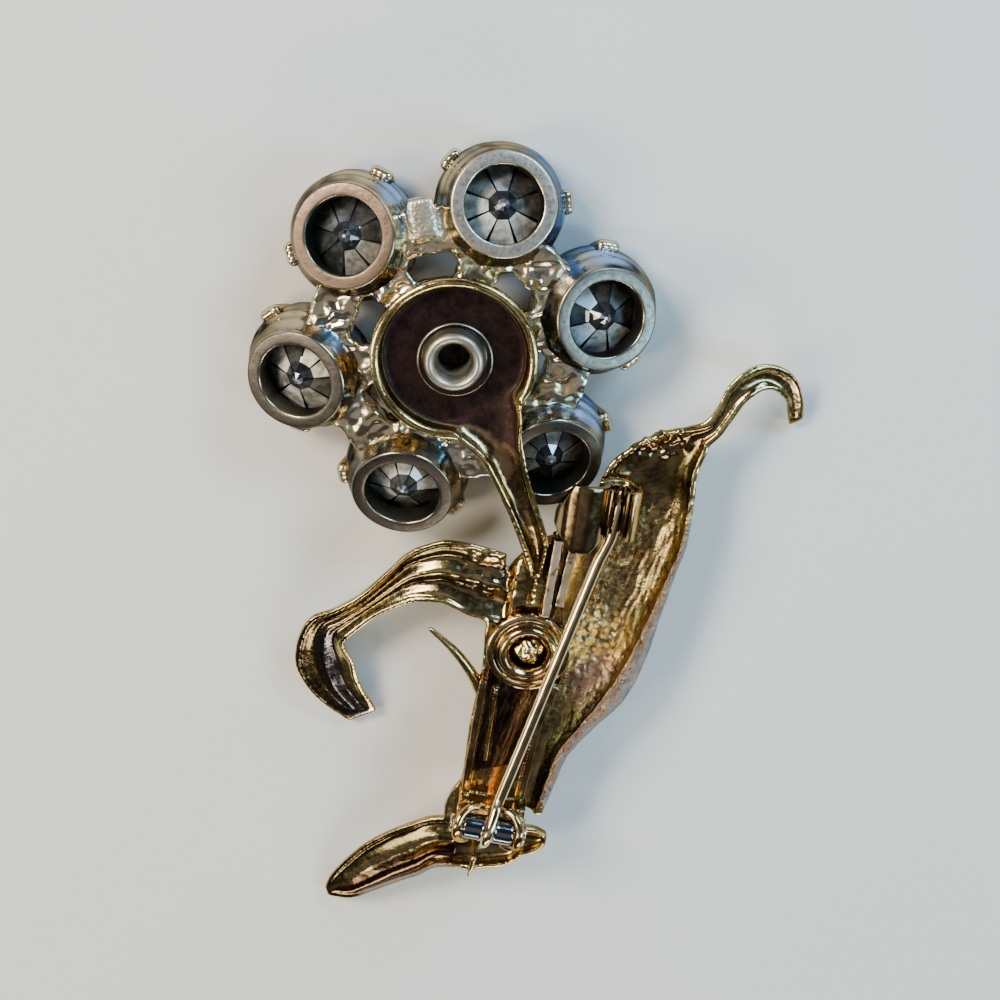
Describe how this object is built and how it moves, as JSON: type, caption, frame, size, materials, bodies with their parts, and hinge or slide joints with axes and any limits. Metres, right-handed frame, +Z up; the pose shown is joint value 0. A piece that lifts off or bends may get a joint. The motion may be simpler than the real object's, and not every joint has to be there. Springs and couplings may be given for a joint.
{
  "type": "flower brooch",
  "caption": "Flower spray brooch lying face down, with open-backed cut stones in silver-tone cups, a gold-tone cast spray, a hinged pin and a turning safety catch.",
  "frame": {"origin": "middle of the brooch's outline, on the table it lies on", "axes": "+Z up out of the brooch's back, +Y from the tail towards the flower, +X towards the curled leaf tip"},
  "size_m": [0.0428, 0.0656, 0.0103],
  "materials": {
    "silver_plate": "polished, slightly worn",
    "smoky_stone": "polished",
    "gold_plate": "cast, polished edges, darkened hollows",
    "pin_back_gold": "polished"
  },
  "bodies": {
    "brooch": {"flower_cups": "silver_plate", "stone_1": "smoky_stone", "stone_2": "smoky_stone", "stone_3": "smoky_stone", "stone_4": "smoky_stone", "stone_5": "smoky_stone", "stone_6": "smoky_stone", "tube_rivet": "silver_plate", "spray": "gold_plate", "back_bar": "pin_back_gold", "hinge_rivet": "pin_back_gold"},
    "pin": {"pin_stem": "pin_back_gold"},
    "lever": {"catch_lever": "pin_back_gold"}
  },
  "joints": [
    {"name": "pin_hinge", "type": "hinge", "parent": "brooch", "child": "pin", "pos_m": [-0.00328, -0.02143, 0.0086], "axis": [0.9781, -0.2079, 0], "range_deg": [0, 75]},
    {"name": "catch_turn", "type": "hinge", "parent": "brooch", "child": "lever", "pos_m": [0.00657, 0.00627, 0.0086], "axis": [0.1219, 0.9925, 0], "range_deg": [0, 84]}
  ]
}
